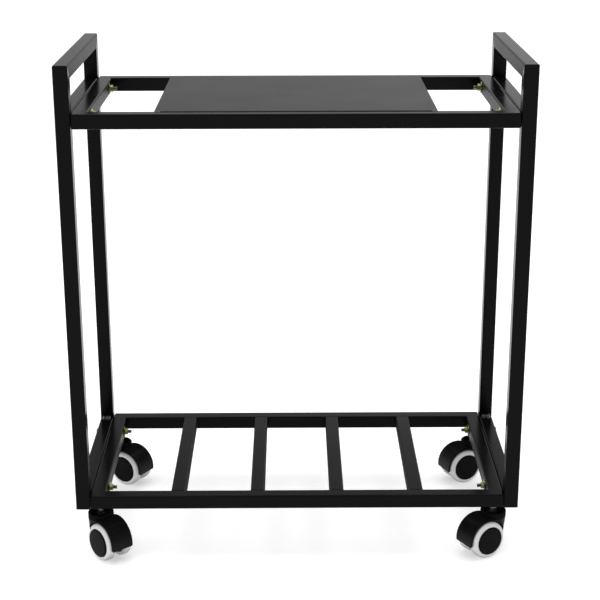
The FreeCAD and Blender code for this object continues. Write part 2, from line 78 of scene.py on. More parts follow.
# Weld beads: the share of a bead's leg that is sunk, the overlap of its scales, and their changing size
BEAD_SUNK = 0.25
BEAD_OVERLAP = 1.3
BEAD_SWELL = (0.78, 1.06)

# Bolts, washers and nuts
BOLT = 6 * MM
BOLT_HEAD = 3.2 * MM
BOLT_HEAD_RADIUS = 6 * MM
BOLT_HEAD_CURVE = 2.4 * MM
BOLT_CROSS = (6 * MM, 1.2 * MM, 1.6 * MM)
BOLT_PITCH = 1 * MM
BOLT_CORE = BOLT / 2 - 0.6 * BOLT_PITCH
BOLT_TIP = 0.8 * BOLT_CORE
BOLT_TIP_LENGTH = 0.5 * MM
BOLT_SHANK = 12 * MM
BOLT_RUN_OUT = 0.4 * MM
THREAD_RIDGE = 0.45
WASHER_HOLE = BOLT / 2 + 0.2 * MM
WASHER_EDGE = 0.3 * MM
NUT_FLATS = 10 * MM
NUT_CROWN = 0.95
NUT_LEAD = 0.5 * MM

# Caster stems and their nuts
STEM_THREAD = 8 * MM
STEM_HEX = 10 * MM
STEM_NUT = 13 * MM
STEM_PIN = 9 * MM
STEM_LEAD = 0.8 * MM
STEM_FLANGE = 14 * MM
STEM_FLANGE_THICKNESS = 2 * MM
STEM_FLANGE_EDGE = 0.4 * MM
COLLAR_RECESS = 4.9 * MM

# Wheels, measured outwards from the caster's middle and up from the axle
WHEEL_RADIUS = 30 * MM
WHEEL_FIT = 0.05 * MM
AXLE_RADIUS = 3.05 * MM
AXLE_COVER = 2.2 * MM
HUB_FACE = 7.5 * MM
HUB_RADIUS = 8 * MM
HUB_EDGE = 0.4 * MM
TREAD_INNER = 9 * MM
TREAD_OUTER = 22.5 * MM
TREAD_SEAT = 24.6 * MM
TREAD_INNER_CURVE = 2 * MM
TREAD_OUTER_CURVE = 5.5 * MM
TREAD_LIP = 2.35 * MM
TREAD_LIP_EDGE = 0.4 * MM
RIM_ROOT = 20.1 * MM
RIM_MOUTH = 21.95 * MM
CAP_RADIUS = 22.7 * MM
CAP_FACE = 25.3 * MM
CAP_WALL = 2.4 * MM
CAP_DROP = 0.5 * MM
CAP_CURVE = 2 * MM
CAP_BULGE_DROP, CAP_BULGE_RADIUS = 0.12 * MM, 12 * MM

CORNERS = ("front_left", "front_right", "rear_left", "rear_right")


class Wire:
    """One output of a node; arithmetic on it adds Math nodes to the same tree."""

    def __init__(self, tree, socket=None):
        self.tree = tree
        self.socket = socket

    def node(self, kind, settings, inputs, out=0):
        """New node of any type: its settings first, then the values or links of its sockets."""
        made = self.tree.nodes.new(kind)
        for name, value in settings.items():
            if name == "stops":
                ramp = made.color_ramp.elements
                ramp.remove(ramp[1])
                for i, (position, colour) in enumerate(value):
                    stop = ramp.new(position) if i else ramp[0]
                    stop.position = position
                    stop.color = (*colour, 1)
            else:
                setattr(made, name, value)
        for name, value in inputs.items():
            for one in value if isinstance(value, list) else [value]:
                if isinstance(one, Wire):
                    self.tree.links.new(one.socket, made.inputs[name])
                else:
                    made.inputs[name].default_value = one
        return Wire(self.tree, made.outputs[out] if made.outputs else None)

    def also(self, name):
        """Another output of the same node."""
        return Wire(self.tree, self.socket.node.outputs[name])

    def along(self, axis):
        """One coordinate of a place or a direction."""
        return self.node("ShaderNodeSeparateXYZ", {}, {0: self}, axis)

    def math(self, operation, a, b=0.0):
        return self.node("ShaderNodeMath", {"operation": operation}, {0: a, 1: b})

    def __add__(self, other):
        return self.math("ADD", self, other)

    def __sub__(self, other):
        return self.math("SUBTRACT", self, other)

    def __rsub__(self, other):
        return self.math("SUBTRACT", other, self)

    def __mul__(self, other):
        return self.math("MULTIPLY", self, other)

    def __truediv__(self, other):
        return self.math("DIVIDE", self, other)

    __radd__ = __add__
    __rmul__ = __mul__


# Finishes

# Between which slopes a face comes to look one way
LOOKS_ALONG = (0.6, 0.95)
LOOKS_DOWN = (0.1, 0.7)
LIES_LEVEL = (0.4, 0.8)

# Powder coat
HANDLING_MARK = 90 * MM
MARK_EDGE = (0.3, 0.7)
DUST_SPECK = 0.9 * MM
DUST_EDGE = (0.52, 0.74)
COAT_HAZE = 0.5 * MM
COAT_GRIT = 0.35 * MM
PEEL_DEPTH = 0.035 * MM

# Zinc
ZINC_DRIFT = 5 * MM
ZINC_LINE = 0.25 * MM
ZINC_LINE_DEPTH = 0.02 * MM

# Moulded plastic, dull above a height
FLOW_MARK = 14 * MM
FLOW_EDGE = (0.35, 0.7)
DULL_START = 3 * MM
DULLNESS = 0.6

# Soft tread
TREAD_MOTTLE = 6 * MM
TREAD_SPECK = 0.8 * MM
TREAD_SPECK_EDGE = (0.62, 0.75)
TREAD_SPECK_PATCH = 11 * MM
TREAD_PATCH_EDGE = (0.45, 0.7)
TREAD_SKIN = 0.6 * MM
TREAD_SKIN_DEPTH = 0.03 * MM

FLOOR_DRIFT = 400 * MM
FLOOR_GLOW = 0.44


def shade(tone, lift=1.0):
    """Opaque colour of a tone, lifted if asked."""
    return (*(lift * c for c in tone), 1)


def finish(name, **constants):
    """New material with these constants on its shader; gives back the place on the surface too."""
    material = bpy.data.materials.new(name)
    material.use_nodes = True
    shader = material.node_tree.nodes["Principled BSDF"]
    for socket, value in constants.items():
        shader.inputs[socket.replace("_", " ")].default_value = value
    return material, Wire(material.node_tree).node("ShaderNodeTexCoord", {}, {}, "Object")


def wear(material, **wires):
    """Join colour, roughness and normal to the material's shader."""
    shader = material.node_tree.nodes["Principled BSDF"]
    for socket, wire in wires.items():
        material.node_tree.links.new(wire.socket, shader.inputs[socket.replace("_", " ")])
    return material


def grain(at, size, detail=2.0):
    """Noise with grains of this size, about 0.5."""
    return at.node("ShaderNodeTexNoise", {}, {"Vector": at, "Scale": 1 / size, "Detail": detail}, "Fac")


def steps_from(value, low, high):
    """0 below low, 1 above high, smooth between."""
    return value.node("ShaderNodeMapRange", {"interpolation_type": "SMOOTHSTEP"},
                      {"Value": value, "From Min": low, "From Max": high})


def blend(fac, one, other):
    """Colour between two colours."""
    return fac.node("ShaderNodeMix", {"data_type": "RGBA"}, {0: fac, 6: one, 7: other}, 2)


def relief(height, depth, strength):
    """Surface normal with this relief, whose full height is depth."""
    return height.node("ShaderNodeBump", {}, {"Height": height, "Distance": depth, "Strength": strength},
                       "Normal")


def outlook(at, axis):
    """How far a face looks along an axis, from -1 to 1."""
    return at.node("ShaderNodeNewGeometry", {}, {}, "Normal").along(axis)


def facing_up(at):
    """1 on faces that look up, 0 on the others."""
    return steps_from(outlook(at, "Z"), *LOOKS_ALONG)


def facing_down(at):
    """1 on faces that look down, 0 on the others."""
    return steps_from(0 - outlook(at, "Z"), *LOOKS_DOWN)


def facing_in(at):
    """1 on faces that look towards the middle of the trolley along X, 0 on the others."""
    side = at.math("SIGN", at.along("X"))
    return steps_from(0 - outlook(at, "X") * side, *LOOKS_ALONG)


def upright(at):
    """1 on faces that stand upright, 0 on level ones."""
    return 1 - steps_from(at.math("ABSOLUTE", outlook(at, "Z")), *LIES_LEVEL)


def powder_coat(name, tone, dust_tone, peel, roughness, shine, dry=0.0, edge_sheen_tone=None):
    """Satin black powder coat: orange peel, faint handling marks and dust on top faces.

    dry adds roughness to faces that look inwards, and edge_sheen_tone is a lighter colour painted on upright
    faces: a painted reflection on thin cut edges.
    """
    material, at = finish(name, Specular_IOR_Level=shine)
    marks = grain(at, HANDLING_MARK, 4)
    specks = steps_from(grain(at, DUST_SPECK, 3), *DUST_EDGE)
    dust = facing_up(at) * specks * (0.35 + 0.5 * marks)
    rough = roughness + 0.08 * marks + 0.06 * grain(at, COAT_HAZE) + 0.15 * dust
    if dry:
        rough = rough + dry * facing_in(at)
    colour = blend(steps_from(marks, *MARK_EDGE), shade(tone), shade(tone, 1.25))
    colour = blend(dust, colour, shade(dust_tone))
    # Painted reflection: upright faces, such as a sheet's cut edges, are lifted to a lighter tone
    if edge_sheen_tone:
        colour = blend(upright(at), colour, shade(edge_sheen_tone))
    height = grain(at, peel) + 0.25 * grain(at, COAT_GRIT)
    return wear(material, Base_Color=colour, Roughness=rough, Normal=relief(height, PEEL_DEPTH, 0.5))


def zinc_plate(name, stops, roughness):
    """Zinc plated steel: drifting passivation colours and fine drawing lines."""
    material, at = finish(name, Metallic=1.0)
    drift = grain(at, ZINC_DRIFT, 3)
    fine = grain(at, ZINC_LINE, 3)
    colour = at.node("ShaderNodeValToRGB", {"stops": stops}, {"Fac": drift}, "Color")
    rough = roughness - 0.08 + 0.16 * fine + 0.06 * drift
    return wear(material, Base_Color=colour, Roughness=rough, Normal=relief(fine, ZINC_LINE_DEPTH, 0.4))


def moulded_plastic(name, tone, roughness, texture, depth, shine, dull=None):
    """Moulded black plastic: spark-eroded texture and slight flow marks; dull above a height, if given."""
    material, at = finish(name, Specular_IOR_Level=shine)
    flow = grain(at, FLOW_MARK, 3)
    sparks = grain(at, texture, 3)
    colour = blend(steps_from(flow, *FLOW_EDGE), shade(tone), shade(tone, 1.5))
    rough = roughness - 0.05 + 0.10 * flow + 0.08 * sparks
    if dull:
        rough = rough + DULLNESS * steps_from(at.along("Z"), dull - DULL_START, dull)
    return wear(material, Base_Color=colour, Roughness=rough, Normal=relief(sparks, depth, 0.5))


def soft_tread(name):
    """Off-white soft tread: faint mottling, a little floor dust, and painted shade: grey where it turns to
    the floor.
    """
    material, at = finish(name, Specular_IOR_Level=0.4)
    mottle = grain(at, TREAD_MOTTLE, 4)
    patch = steps_from(grain(at, TREAD_SPECK_PATCH), *TREAD_PATCH_EDGE)
    speck = steps_from(grain(at, TREAD_SPECK, 3), *TREAD_SPECK_EDGE) * patch
    colour = blend(mottle, shade((0.59, 0.60, 0.60)), shade((0.68, 0.69, 0.68)))
    colour = blend(0.25 * speck, colour, shade((0.30, 0.29, 0.27)))
    # Painted shade: faces that look down to the floor are blended towards grey
    colour = blend(0.75 * facing_down(at), colour, shade((0.20, 0.20, 0.19)))
    rough = 0.40 + 0.12 * mottle + 0.15 * speck
    skin_relief = relief(grain(at, TREAD_SKIN, 3), TREAD_SKIN_DEPTH, 0.4)
    return wear(material, Base_Color=colour, Roughness=rough, Normal=skin_relief)


def pale_floor(name):
    """Plain pale studio floor."""
    material, at = finish(name, Specular_IOR_Level=0.1, Emission_Strength=FLOOR_GLOW)
    drift = grain(at, FLOOR_DRIFT)
    colour = blend(drift, shade((0.86, 0.86, 0.86)), shade((0.88, 0.88, 0.88)))
    return wear(material, Base_Color=colour, Roughness=0.75 + 0.1 * drift)


TUBE_PAINT = {"tone": (0.0016, 0.0016, 0.0017), "dust_tone": (0.02, 0.02, 0.0195), "peel": 1.7 * MM,
              "roughness": 0.14, "shine": 0.066}
coat = powder_coat("black_powder_coat", **TUBE_PAINT)
rail_coat = powder_coat("black_rail_coat", **TUBE_PAINT, dry=0.2)
slat_coat = powder_coat("black_slat_coat", **TUBE_PAINT, dry=0.55)
# The plate's cut edges carry a painted reflection: a lighter tone on upright faces
plate_coat = powder_coat(
    "black_plate_coat", tone=(0.0028, 0.0028, 0.0029), dust_tone=(0.04, 0.039, 0.038), peel=1.4 * MM,
    roughness=0.24, shine=0.085, edge_sheen_tone=(0.11, 0.11, 0.11))
weld_coat = powder_coat(
    "black_coat_on_weld", tone=(0.006, 0.006, 0.0062), dust_tone=(0.03, 0.03, 0.03), peel=0.8 * MM,
    roughness=0.10, shine=0.9)
yellow_zinc = zinc_plate("yellow_zinc", roughness=0.22, stops=[
    (0.30, (0.05, 0.063, 0.02)), (0.48, (0.105, 0.112, 0.042)), (0.66, (0.19, 0.163, 0.085))])
bright_zinc = zinc_plate("bright_zinc", roughness=0.24, stops=[
    (0.30, (0.42, 0.42, 0.43)), (0.70, (0.58, 0.58, 0.56))])
black_oxide = zinc_plate("black_oxide", roughness=0.45, stops=[
    (0.30, (0.012, 0.012, 0.012)), (0.70, (0.02, 0.02, 0.021))])
hood_plastic = moulded_plastic(
    "hood_plastic", tone=(0.0028, 0.0028, 0.003), roughness=0.30, texture=0.5 * MM, depth=0.03 * MM,
    shine=0.09, dull=62 * MM)
wheel_plastic = moulded_plastic(
    "wheel_plastic", tone=(0.0035, 0.0035, 0.0038), roughness=0.26, texture=0.9 * MM, depth=0.012 * MM,
    shine=0.03)
plug_plastic = moulded_plastic(
    "plug_plastic", tone=(0.004, 0.004, 0.004), roughness=0.5, texture=0.4 * MM, depth=0.03 * MM, shine=0.1)
tread_white = soft_tread("tread_white")


# Meshes

def as_object(name, data):
    """Object of a mesh, a lamp or a camera, in the scene."""
    made = bpy.data.objects.new(name, data)
    bpy.context.scene.collection.objects.link(made)
    return made


def plain_mesh(holder):
    """Plain mesh of an object with its modifiers worked in; the object goes."""
    graph = bpy.context.evaluated_depsgraph_get()
    mesh = bpy.data.meshes.new_from_object(holder.evaluated_get(graph), depsgraph=graph)
    holder.modifiers.clear()
    bpy.data.objects.remove(holder)
    return mesh


def freed(shell, name):
    """Plain mesh of a bmesh; the bmesh goes."""
    mesh = bpy.data.meshes.new(name)
    shell.to_mesh(mesh)
    shell.free()
    return mesh


def to_mesh(shell):
    """Plain mesh of a bmesh, with its faces turned outwards."""
    bmesh.ops.recalc_face_normals(shell, faces=shell.faces[:])
    return freed(shell, "shell")


def eased(mesh, angle=35):
    """Smooth shading up to edges sharper than the angle, with flat faces kept flat."""
    mesh.shade_smooth()
    mesh.set_sharp_from_angle(angle=math.radians(angle))
    holder = as_object("easing", mesh)
    weigh = holder.modifiers.new("weigh", "WEIGHTED_NORMAL")
    weigh.keep_sharp = True
    weigh.weight = 100
    return plain_mesh(holder)


def without_slivers(mesh):
    """Mesh with its doubled points joined and its faces of no width taken out."""
    shell = bmesh.new()
    shell.from_mesh(mesh)
    bmesh.ops.remove_doubles(shell, verts=shell.verts[:], dist=SLIVER)
    bmesh.ops.dissolve_degenerate(shell, edges=shell.edges[:], dist=SLIVER)
    return freed(shell, "whole")


def carved(mesh, cutter, how):
    """Mesh cut by another mesh, or kept only inside it."""
    holder, tool = as_object("carving", mesh), as_object("tool", cutter)
    carve = holder.modifiers.new("carve", "BOOLEAN")
    carve.operation = how
    carve.object = tool
    made = plain_mesh(holder)
    bpy.data.objects.remove(tool)
    return made


def joined(*meshes):
    """One mesh of several."""
    shell = bmesh.new()
    for mesh in meshes:
        shell.from_mesh(mesh)
    return freed(shell, "joined")


def merged_copy(node):
    """A node's own mesh with its loose triangles joined up."""
    shell = bmesh.new()
    shell.from_mesh(frame["nodes"][node].data)
    bmesh.ops.remove_doubles(shell, verts=shell.verts[:], dist=SAME_POINT)
    return freed(shell, node)


def box_of(points):
    """Lowest and highest corner of some points."""
    return Vector(map(min, zip(*points))), Vector(map(max, zip(*points)))


def lumps(node):
    """Points of each separate solid of a node, in the order of the solids' places."""
    shell = bmesh.new()
    shell.from_mesh(merged_copy(node))
    left = set(shell.verts)
    found = []
    for first in shell.verts:
        if first not in left:
            continue
        left.remove(first)
        front, lump = [first], []
        while front:
            vert = front.pop()
            lump.append(vert.co.copy())
            for edge in vert.link_edges:
                other = edge.other_vert(vert)
                if other in left:
                    left.remove(other)
                    front.append(other)
        found.append(lump)
    shell.free()
    return sorted(found, key=lambda lump: [round(c, 4) for c in box_of(lump)[0]])


def block(low, high):
    """Plain box between two corners."""
    shell = bmesh.new()
    bmesh.ops.create_cube(shell, size=1)
    bmesh.ops.scale(shell, vec=high - low, verts=shell.verts)
    bmesh.ops.translate(shell, vec=(low + high) / 2, verts=shell.verts)
    return shell


def climb(edge):
    """Height between an edge's two ends."""
    return abs(edge.verts[0].co.z - edge.verts[1].co.z)


def round_off(shell, edges, radius, segments):
    """Round some edges of a bmesh."""
    bmesh.ops.bevel(shell, geom=edges, offset=radius, segments=segments, profile=0.5, affect="EDGES")


def skin(rings, loop=False):
    """Mesh through rings of points.

    A ring of one point is a pole, and loop joins the last ring to the first.
    """
    shell = bmesh.new()
    made = [[shell.verts.new(p) for p in ring] for ring in rings]
    for low, high in zip(made, made[1:] + (made[:1] if loop else [])):
        sides = max(len(low), len(high))
        for i in range(sides if sides > 1 else 0):
            j = i + 1
            around = (low[i % len(low)], low[j % len(low)], high[j % len(high)], high[i % len(high)])
            shell.faces.new(dict.fromkeys(around))
    return to_mesh(shell)


def rounded(profile, steps):
    """Profile points (a, b) with each corner (a, b, radius) turned into an arc."""
    points = []
    for i, (a, b, *radius) in enumerate(profile):
        corner = Vector((a, b))
        if not radius:
            points.append(corner)
            continue
        back = (Vector(profile[i - 1][:2]) - corner).normalized()
        ahead = (Vector(profile[(i + 1) % len(profile)][:2]) - corner).normalized()
        half = back.angle(ahead) / 2
        centre = corner + (back + ahead).normalized() * radius[0] / math.sin(half)
        first = corner + back * radius[0] / math.tan(half) - centre
        last = corner + ahead * radius[0] / math.tan(half) - centre
        sweep = first.angle(last)
        for k in range(steps + 1):
            t = k / steps
            arm = first * math.sin((1 - t) * sweep) + last * math.sin(t * sweep)
            points.append(centre + arm / math.sin(sweep))
    return points


def turned(profile, sides, loop=True):
    """Turned piece about Z from a profile of (height, radius)."""
    rings = []
    for height, radius in profile:
        spokes = [2 * math.pi * k / sides for k in range(sides)] if radius > POLE else [0]
        rings.append([Vector((radius * math.cos(s), radius * math.sin(s), height)) for s in spokes])
    return skin(rings, loop)


def hex_block(flats, low, high, bore, crown_high=True):
    """Hexagonal block along Z with chamfered corners, bored if bore is not 0."""
    count = 72
    spokes = [2 * math.pi * k / count for k in range(count)]
    reach = [flats / 2 / math.cos(s % (math.pi / 3) - math.pi / 6) for s in spokes]
    crown = flats / 2 * NUT_CROWN
    drop = [(r - crown) * math.tan(math.pi / 6) for r in reach]

    def ring(radii, heights):
        return [Vector((r * math.cos(s), r * math.sin(s), h)) for r, s, h in zip(radii, spokes, heights)]

    def circle(radius, height):
        return ring([radius] * count, [height] * count)

    lower = ring(reach, [low + d for d in drop])
    upper = ring(reach, [high - d * crown_high for d in drop])
    rings = [circle(crown, low), lower, upper, circle(crown, high)]
    if not bore:
        return skin([[Vector((0, 0, low))], *rings, [Vector((0, 0, high))]])
    hole, mouth = bore / 2, bore / 2 + NUT_LEAD
    rings += [circle(mouth, high), circle(hole, high - NUT_LEAD),
              circle(hole, low + NUT_LEAD), circle(mouth, low)]
    return skin(rings, True)


def piece(name, mesh, material, slot, body, *nodes):
    """Finished piece that rides on a body and stands for these nodes."""
    mesh.materials.clear()
    mesh.materials.append(material)
    made = as_object(name, mesh)
    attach(made, body)
    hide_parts(*nodes)


# Growing trees

def growing(name, **inputs):
    """Start of a geometry tree with named inputs of these kinds."""
    tree = bpy.data.node_groups.new(name, "GeometryNodeTree")
    tree.interface.new_socket("Geometry", in_out="INPUT", socket_type="NodeSocketGeometry")
    for label, kind in inputs.items():
        tree.interface.new_socket(label, in_out="INPUT", socket_type="NodeSocket" + kind)
    tree.interface.new_socket("Geometry", in_out="OUTPUT", socket_type="NodeSocketGeometry")
    return Wire(tree).node("NodeGroupInput", {}, {}, "Geometry")


def closed(shape, material):
    """End of a geometry tree: instances made real, with their material."""
    real = shape.node("GeometryNodeRealizeInstances", {}, {"Geometry": shape})
    clad = shape.node("GeometryNodeSetMaterial", {}, {"Geometry": real, "Material": material})
    shape.node("NodeGroupOutput", {}, {"Geometry": clad})
    return shape.tree


def grown(tree, base, **inputs):
    """Plain mesh that a tree grows from a base mesh."""
    holder = as_object("growing", base)
    grow = holder.modifiers.new("grow", "NODES")
    grow.node_group = tree
    for item in tree.interface.items_tree:
        if item.in_out == "INPUT" and item.name in inputs:
            grow[item.identifier] = inputs[item.name]
    return plain_mesh(holder)


def square_tube_tree():
    """Square tube up Z with rounded corners; a mitre of 1 cuts an end back towards -Y."""
    start = growing("square_tube", Length="Float", Side="Float", Wall="Float", Corner="Float",
                    StartMitre="Float", EndMitre="Float", Material="Material")
    length, side, wall, corner = (start.also(name) for name in ("Length", "Side", "Wall", "Corner"))
    first, last = start.also("StartMitre"), start.also("EndMitre")

    def outline(width, radius):
        square = start.node("GeometryNodeCurvePrimitiveQuadrilateral", {"mode": "RECTANGLE"},
                            {"Width": width, "Height": width})
        return start.node("GeometryNodeFilletCurve", {"mode": "POLY"},
                          {"Curve": square, "Count": 6, "Radius": radius})

    outlines = [outline(side, corner), outline(side - 2 * wall, corner - wall)]
    both = start.node("GeometryNodeJoinGeometry", {}, {"Geometry": outlines})
    foot = start.node("GeometryNodeFillCurve", {"mode": "NGONS"}, {"Curve": both})
    up = start.node("ShaderNodeCombineXYZ", {}, {"Z": length})
    walls = start.node("GeometryNodeExtrudeMesh", {"mode": "FACES"},
                       {"Mesh": foot, "Offset": up, "Individual": False})
    under = start.node("GeometryNodeFlipFaces", {}, {"Mesh": foot})
    tube = start.node("GeometryNodeJoinGeometry", {}, {"Geometry": [walls, under]})
    tube = start.node("GeometryNodeMergeByDistance", {}, {"Geometry": tube, "Distance": SAME_POINT})
    place = start.node("GeometryNodeInputPosition", {}, {})
    far = start.math("GREATER_THAN", place.along("Z"), 0.5 * length)
    slope = first - (first + last) * far
    shift = start.node("ShaderNodeCombineXYZ", {}, {"Z": (0.5 * side - place.along("Y")) * slope})
    tube = start.node("GeometryNodeSetPosition", {}, {"Geometry": tube, "Offset": shift})
    return closed(tube, start.also("Material"))


def slat_row_tree(tube):
    """Row of square tubes side by side along X."""
    start = growing("slat_row", Count="Int", Pitch="Float", Length="Float", Side="Float", Wall="Float",
                    Corner="Float", Material="Material")
    sizes = {name: start.also(name) for name in ("Length", "Side", "Wall", "Corner", "Material")}
    slat = start.node("GeometryNodeGroup", {"node_tree": tube}, sizes)
    step = start.node("ShaderNodeCombineXYZ", {}, {"X": start.also("Pitch")})
    line = start.node("GeometryNodeMeshLine", {}, {"Count": start.also("Count"), "Offset": step})
    row = start.node("GeometryNodeInstanceOnPoints", {}, {"Points": line, "Instance": slat})
    return closed(row, start.also("Material"))


def set_at_points_tree():
    """A piece set at each base point, turned by the point's own angles."""
    start = growing("set_at_points", Piece="Object", Material="Material")
    source = start.node("GeometryNodeObjectInfo", {}, {"Object": start.also("Piece")}, "Geometry")
    turn = start.node("GeometryNodeInputNamedAttribute", {"data_type": "FLOAT_VECTOR"}, {"Name": "turn"},
                      "Attribute")
    row = start.node("GeometryNodeInstanceOnPoints", {},
                     {"Points": start, "Instance": source, "Rotation": turn})
    return closed(row, start.also("Material"))


def thread_tree():
    """Screw thread wound up the base rod."""
    start = growing("thread", Radius="Float", Length="Float", Pitch="Float", Material="Material")
    radius, length, pitch = (start.also(name) for name in ("Radius", "Length", "Pitch"))
    ridge = THREAD_RIDGE * pitch
    coil = start.node("GeometryNodeCurveSpiral", {}, {
        "Resolution": 32, "Rotations": length / pitch, "Start Radius": radius - ridge,
        "End Radius": radius - ridge, "Height": length})
    section = start.node("GeometryNodeCurvePrimitiveCircle", {"mode": "RADIUS"},
                         {"Resolution": 4, "Radius": ridge})
    wound = start.node("GeometryNodeCurveToMesh", {},
                       {"Curve": coil, "Profile Curve": section, "Fill Caps": True})
    both = start.node("GeometryNodeJoinGeometry", {}, {"Geometry": [start, wound]})
    return closed(both, start.also("Material"))


def weld_tree():
    """Weld bead of overlapping scales along each base edge; Size holds half a scale's measures."""
    start = growing("weld", Pitch="Float", Size="Vector", Seed="Int", Material="Material")
    path = start.node("GeometryNodeMeshToCurve", {}, {"Mesh": start})
    points = start.node("GeometryNodeCurveToPoints", {"mode": "LENGTH"},
                        {"Curve": path, "Length": start.also("Pitch")}, "Points")
    scale = start.node("GeometryNodeMeshIcoSphere", {}, {"Radius": 1.0, "Subdivisions": 3})
    least, most = BEAD_SWELL
    swell = start.node("FunctionNodeRandomValue", {"data_type": "FLOAT"},
                       {2: least, 3: most, "Seed": start.also("Seed")}, 1)
    size = start.node("ShaderNodeVectorMath", {"operation": "SCALE"}, {0: start.also("Size"), "Scale": swell})
    row = start.node("GeometryNodeInstanceOnPoints", {}, {"Points": points, "Instance": scale, "Scale": size})
    smooth = start.node("GeometryNodeSetShadeSmooth", {}, {"Geometry": row})
    return closed(smooth, start.also("Material"))


square_tube = square_tube_tree()
slat_row = slat_row_tree(square_tube)
set_at_points = set_at_points_tree()
thread = thread_tree()
weld = weld_tree()


def point_mesh(places, turns):
    """Loose points, each with its own angles."""
    mesh = bpy.data.meshes.new("points")
    mesh.from_pydata([tuple(p) for p in places], [], [])
    angles = mesh.attributes.new("turn", "FLOAT_VECTOR", "POINT")
    angles.data.foreach_set("vector", [c for turn in turns for c in turn])
    return mesh


def set_pieces(name, mesh, places, turns, material, slot, node):
    """A small piece of the frame, repeated at its places."""
    source = as_object("source", mesh)
    made = grown(set_at_points, point_mesh(places, turns), Piece=source, Material=material)
    bpy.data.objects.remove(source)
    piece(name, made, material, slot, "frame", node)


# Frame tubes

def lay_tube(node, run, outward, cuts=CUT_SQUARE, dressing=None, paint=coat):
    """Square tube in a node's place, along run, with its longer side outward where it is mitred."""
    low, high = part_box(node)
    middle = (low + high) / 2
    length = abs((high - low).dot(run)) + (2 * MITRE_LOSS if dressing else 0)
    first, last = cuts
    mesh = grown(square_tube, bpy.data.meshes.new("base"), Length=length, **TUBE_SECTION,
                 StartMitre=first, EndMitre=last, Material=paint)
    turn = Matrix((outward.cross(run), outward, run)).transposed().to_4x4()
    mesh.transform(Matrix.Translation(middle - run * length / 2) @ turn)
    if dressing:
        mesh = without_slivers(carved(mesh, dressing.copy(), "INTERSECT"))
    piece(f"{node}_tube", eased(mesh), paint, "frame_tube", "frame", node)


def shelf_dressing(level):
    """Block over a shelf whose upright edges are rounded, a hair outside the rails' faces."""
    rails = [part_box(f"{level}_shelf_{end}_rail") for end, _ in SIDES + ENDS]
    low, high = box_of([corner for rail in rails for corner in rail])
    shell = block(low - DRESSING_ROOM, high + DRESSING_ROOM)
    round_off(shell, [e for e in shell.edges if climb(e) > TUBE], SHELF_CORNER, 8)
    return to_mesh(shell)


dressings = {level: shelf_dressing(level) for level in LEVELS}
for side, out in SIDES:
    for end, back in ENDS:
        lay_tube(f"{side}_{end}_post", Z, back, TOP_MITRED)
    lay_tube(f"{side}_handle_bar", Y, Z, BOTH_MITRED, paint=rail_coat)
    for level in LEVELS:
        lay_tube(f"{side}_{level}_cross_rail", Y, Z)
        lay_tube(f"{level}_shelf_{side}_rail", Y, out, BOTH_MITRED, dressings[level], rail_coat)
for end, back in ENDS:
    for level in LEVELS:
        lay_tube(f"{level}_shelf_{end}_rail", X, back, BOTH_MITRED, dressings[level])


def lay_slats():
    """Slats of the lower shelf."""
    nodes = sorted(n for n in frame["nodes"] if n.startswith("lower_shelf_slat_"))
    low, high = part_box(nodes[0])
    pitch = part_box(nodes[1])[0].x - low.x
    mesh = grown(slat_row, bpy.data.meshes.new("base"), Count=len(nodes), Pitch=pitch, Length=high.y - low.y,
                 **TUBE_SECTION, Material=slat_coat)
    start = Vector(((low.x + high.x) / 2, low.y, (low.z + high.z) / 2))
    mesh.transform(Matrix.Translation(start) @ Matrix.Rotation(-math.pi / 2, 4, "X"))
    piece("lower_shelf_slats", eased(mesh), slat_coat, "frame_tube", "frame", *nodes)


def lay_plate():
    """Sheet plate with broken edges and slightly rounded corners."""
    low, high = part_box("upper_shelf_plate")
    half = (high.z - low.z) / 2
    shell = block(low, high)
    round_off(shell, [e for e in shell.edges if climb(e) > half], PLATE_CORNER, 6)
    round_off(shell, [e for e in shell.edges if climb(e) < half], PLATE_EDGE, 3)
    piece("upper_shelf_sheet", eased(to_mesh(shell)), plate_coat, "shelf_plate", "frame", "upper_shelf_plate")


def run_welds(node, run, pitch, seed, paint):
    """Scaly weld beads along run, in the corners that a node's three-sided bars fill."""
    ends = []
    for points in lumps(node):
        low, high = box_of(points)
        middle = (low + high) / 2
        # A three-sided bar's heart lies a sixth of its legs away from the middle of its box
        heart = sum(points, Vector()) / len(points)
        legs = (middle - heart) * 6
        root = middle - legs * (0.5 + BEAD_SUNK)
        reach = run * ((high - low).dot(run) / 2 - pitch)
        ends += [root - reach, root + reach]
    mesh = bpy.data.meshes.new("bead_lines")
    mesh.from_pydata([tuple(p) for p in ends], [(i, i + 1) for i in range(0, len(ends), 2)], [])
    size = Vector(map(abs, legs)) * (1 + BEAD_SUNK) + run * BEAD_OVERLAP * pitch
    beads = grown(weld, mesh, Pitch=pitch, Size=size, Seed=seed, Material=paint)
    piece(f"{node}_beads", beads, paint, "weld_bead", "frame", node)


lay_slats()
lay_plate()
run_welds("side_frame_welds", X, pitch=2.4 * MM, seed=3, paint=weld_coat)
run_welds("slat_welds", Z, pitch=1.1 * MM, seed=5, paint=slat_coat)
run_welds("plate_tacks", X, pitch=1.2 * MM, seed=7, paint=weld_coat)


# Bolts, washers and nuts along X, and the plugs in the posts' feet

def aimed(sides):
    """Angles that turn Z to point outwards on each side, with a corner of the hexagon up."""
    return [(0, side * math.pi / 2, 0) for side in sides]


def inner_faces(node):
    """Middle of each solid's inner face, the angles that turn Z outwards there, and one solid's size."""
    boxes = [box_of(points) for points in lumps(node)]
    middles = [(low + high) / 2 for low, high in boxes]
    places = [Vector((min(low.x, high.x, key=abs), m.y, m.z)) for (low, high), m in zip(boxes, middles)]
    return places, aimed([1 if p.x > 0 else -1 for p in places]), boxes[0][1] - boxes[0][0]


